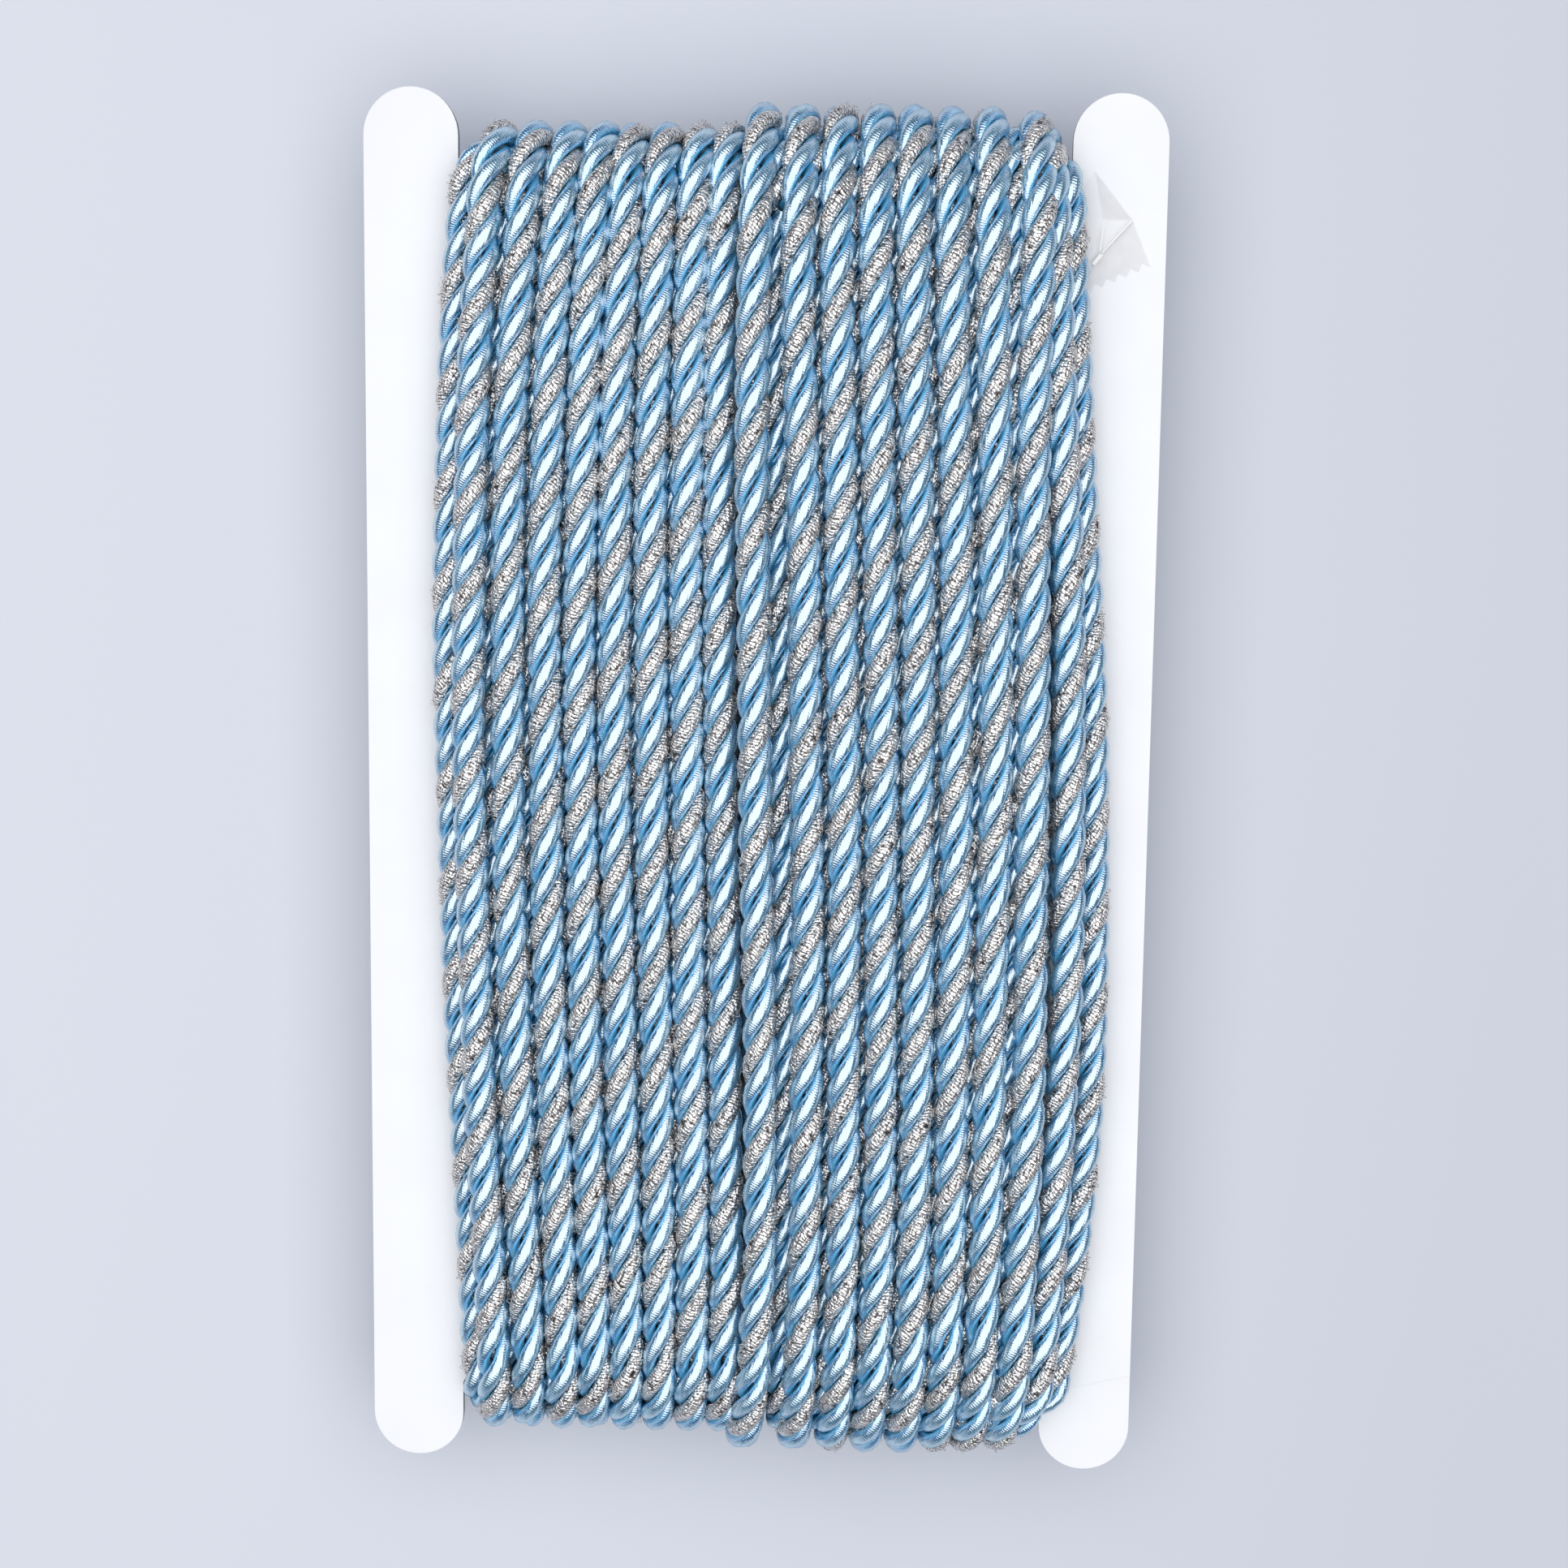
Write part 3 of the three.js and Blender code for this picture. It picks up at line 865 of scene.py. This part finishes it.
# Corners of the film, with their heights over the card's face.
FILM_POINTS = {
    "side_top": (44.3, 86.5, 0.40),
    "top": (45.8, 88.8, 0.20),
    "fold_tip": (51.2, 82.2, 0.30),
    "inner": (47.1, 82.3, 0.45),
    "bend": (46.7, 77.3, 0.60),
    "fold_low": (45.5, 74.8, 0.55),
    "side_low": (44.3, 74.2, 0.40),
    "low": (45.7, 72.3, 0.20),
    "tip": (53.9, 75.8, 0.20),
}
# Facets of the film: their corners, how much of the card they veil, and how pale they are.
FILM_FACETS = [
    (("side_top", "side_low", "fold_low", "bend", "inner", "top"), 0.05, 0.6),
    (("top", "inner", "fold_tip"), 0.11, 0.1),
    (("inner", "bend", "fold_tip"), 0.10, 0.9),
]
FILM_LOWER_FACET = ("fold_tip", "bend", "fold_low", "side_low", "low")
FILM_LOWER_VEIL = (0.12, 0.35)
# Strips along the creases, painted highlights where paleness is 1 and painted shade where it is 0: two ends,
# width, veil and paleness.
FILM_CREASE_HIGHLIGHTS_AND_SHADE = [
    ((51.1, 82.1), (46.9, 77.5), 0.16, 0.80, 1.0),
    ((51.1, 81.9), (46.9, 77.1), 0.10, 0.25, 0.0),
    ((47.1, 77.6), (45.9, 76.1), 0.50, 0.85, 1.0),
    ((47.1, 80.9), (46.8, 77.9), 0.22, 0.60, 1.0),
    ((45.9, 76.0), (45.4, 74.8), 0.12, 0.25, 0.0),
]
FILM_CREASE_HEIGHT = 0.66
FILM_TONES_AND_PAINTED_LIGHT = ((0.55, 0.54, 0.53, 1), (1.0, 1.0, 1.0, 1))
FILM_ROUGHNESS = (0.08, 0.2)
FILM_BUMP = 0.3
FILM_BUMP_DEPTH = 0.05
SPECK_SCALE = 900.0
SPECK_SPAN = (0.35, 0.65)
SPECK_SHADE = (-0.25, 0.25)


def film_teeth():
    """Points of the pinked edge from the tip back to the low corner."""
    tip = Vector(FILM_POINTS["tip"])
    run = Vector(FILM_POINTS["low"]) - tip
    inward = Vector((run.y, -run.x, 0)).normalized() * FILM_TOOTH_DEPTH
    return [tip + run * i / (2 * FILM_TEETH) + inward * (i % 2) for i in range(2 * FILM_TEETH - 1, 0, -1)]


def slab(tops, faces, thick):
    """Closed thin sheet under the given top faces, with walls along the edges that only one face has."""
    count = len(tops)
    verts = tops + [(x, y, z - thick) for x, y, z in tops]
    sides = [(a, b) for face in faces for a, b in zip(face, face[1:] + face[:1])]
    walls = [(b, a, a + count, b + count) for a, b in sides if (b, a) not in sides]
    return verts, faces + [[v + count for v in reversed(face)] for face in faces] + walls


def film_mesh():
    """The folded sheet and the thin strips of painted highlight and painted shade along its creases, with the
    veil and paleness of each face.
    """
    names = list(FILM_POINTS)
    tops = list(FILM_POINTS.values())
    faces = [[names.index(name) for name in facet[0]] for facet in FILM_FACETS]
    teeth = range(len(tops), len(tops) + 2 * FILM_TEETH - 1)
    tops += [tuple(p) for p in film_teeth()]
    faces.append([names.index(name) for name in FILM_LOWER_FACET] + list(teeth) + [names.index("tip")])
    looks = [facet[1:] for facet in FILM_FACETS] + [FILM_LOWER_VEIL]
    verts, polygons = slab(tops, faces, FILM_THICK)
    looks = looks + looks + [FILM_LOWER_VEIL] * (len(polygons) - 2 * len(faces))
    for start, end, width, veil, pale in FILM_CREASE_HIGHLIGHTS_AND_SHADE:
        a = Vector(start)
        b = Vector(end)
        side = Vector((a.y - b.y, b.x - a.x)).normalized() * width / 2
        corners = [tuple(p) + (FILM_CREASE_HEIGHT,) for p in (a + side, a - side, b - side, b + side)]
        strip, strip_faces = slab(corners, [[3, 2, 1, 0]], FILM_THICK / 2)
        polygons += [[v + len(verts) for v in face] for face in strip_faces]
        verts += strip
        looks += [(veil, pale)] * len(strip_faces)
    return verts, polygons, looks


def clear_film():
    material, tree, shader = new_material("clear_film")
    veil = add(tree, "ShaderNodeAttribute", attribute_name="veil").outputs["Fac"]
    pale = add(tree, "ShaderNodeAttribute", attribute_name="pale").outputs["Fac"]
    specks = noise(tree, object_place(tree), SPECK_SCALE)
    spread = ranged(tree, specks, SPECK_SPAN, SPECK_SHADE)
    # Paleness gives the facets their own tone, and on the crease strips it gives painted highlights and
    # painted shade.
    tone = math_node(tree, "MULTIPLY_ADD", spread, math_node(tree, "SUBTRACT", 1.0, pale), pale, clamp=True)
    fill(tree, shader, {
        "Base Color": mix_colour(tree, tone, *FILM_TONES_AND_PAINTED_LIGHT),
        "Alpha": veil,
        "Roughness": ranged(tree, specks, (0.0, 1.0), FILM_ROUGHNESS),
        "Normal": bump(tree, specks, FILM_BUMP, FILM_BUMP_DEPTH),
    })
    return material


film_points, film_faces, film_looks = film_mesh()
film_data = bpy.data.meshes.new("clear_end_film")
card_face = CARD_MID_Z + CARD_HALF_THICK
film_data.from_pydata([(x * MM, y * MM, (card_face + z) * MM) for x, y, z in film_points], [], film_faces)
for column, name in enumerate(("veil", "pale")):
    values = [look_of[column] for look_of in film_looks]
    film_data.attributes.new(name, "FLOAT", "FACE").data.foreach_set("value", values)
film_data.materials.append(clear_film())
film = in_scene("clear_end_film", film_data)
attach(film, "root")
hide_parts("end_film")

# Surface, light and camera
# A pale surface, painted a little darker towards the right as shade, and one soft studio light from above,
# with the camera almost straight over the card.
# The places and sizes of the surface and the light are in metres.

FLOOR_HALF = 3.0
FLOOR_LEFT = (0.68, 0.71, 0.79, 1)
FLOOR_RIGHT_SHADED = (0.58, 0.61, 0.69, 1)
FLOOR_ROUGHNESS = 0.85
FLOOR_SPAN = (-0.11, 0.11)
FLOOR_SHADE = (0.03, 0.88)
CLOUD_SCALE = 6.0
CLOUD_SHADE = 0.12
PHOTO_FOCAL_PIXELS = 3200
PHOTO_SIDE_PIXELS = 1932
SENSOR_MM = 36.0
CAMERA_FROM = Vector((13.6, 53.2, CARD_MID_Z + 369.9)) * MM
CAMERA_AIM = Vector((3.8, 2.3, CARD_MID_Z)) * MM
CAMERA_UP = Vector((-0.0165, 0.9906, -0.1358))
SOFTBOX_PLACE = Vector((-0.02, 0.10, 0.85))
SOFTBOX_SIDE = 2.0
SOFTBOX_WATTS = 19.4
STUDIO_COLOUR = (0.75, 0.80, 0.88, 1)
STUDIO_STRENGTH = 0.12


def look(location, aim, up=Vector((0, 1, 0))):
    back = (location - aim).normalized()
    right = up.cross(back).normalized()
    turned = Matrix((right, back.cross(right), back)).transposed().to_4x4()
    return Matrix.Translation(location) @ turned


def pale_surface():
    """Matte pale grey, with painted shade making it a little darker towards the right."""
    material, tree, shader = new_material("pale_surface")
    place = object_place(tree)
    # Painted shade: the colour darkens from left to right.
    painted_falloff = ranged(tree, parts_of(tree, place)["X"], FLOOR_SPAN, FLOOR_SHADE)
    shade = math_node(tree, "MULTIPLY_ADD", noise(tree, place, CLOUD_SCALE), CLOUD_SHADE, painted_falloff)
    fill(tree, shader, {
        "Base Color": mix_colour(tree, shade, FLOOR_LEFT, FLOOR_RIGHT_SHADED),
        "Roughness": FLOOR_ROUGHNESS,
    })
    return material


floor_data = bpy.data.meshes.new("floor")
floor_corners = [(x * FLOOR_HALF, y * FLOOR_HALF, 0) for x, y in ((-1, -1), (1, -1), (1, 1), (-1, 1))]
floor_data.from_pydata(floor_corners, [], [(0, 1, 2, 3)])
floor_data.materials.append(pale_surface())
floor = in_scene("floor", floor_data)

camera_data = bpy.data.cameras.new("camera")
camera_data.sensor_width = SENSOR_MM
camera_data.lens = PHOTO_FOCAL_PIXELS / PHOTO_SIDE_PIXELS * SENSOR_MM
camera = in_scene("camera", camera_data)
camera.matrix_world = look(CAMERA_FROM, CAMERA_AIM, CAMERA_UP)
bpy.context.scene.camera = camera

softbox_data = bpy.data.lights.new("key_softbox", "AREA")
softbox_data.shape = "SQUARE"
softbox_data.size = SOFTBOX_SIDE
softbox_data.energy = SOFTBOX_WATTS
softbox = in_scene("key_softbox", softbox_data)
softbox.matrix_world = look(SOFTBOX_PLACE, Vector((SOFTBOX_PLACE.x, SOFTBOX_PLACE.y, 0)))
softbox.visible_camera = False

world = bpy.data.worlds.new("studio")
world.use_nodes = True
ambient = world.node_tree.nodes["Background"]
fill(world.node_tree, ambient, {"Color": STUDIO_COLOUR, "Strength": STUDIO_STRENGTH})
bpy.context.scene.world = world
bpy.context.scene.view_settings.view_transform = "Standard"
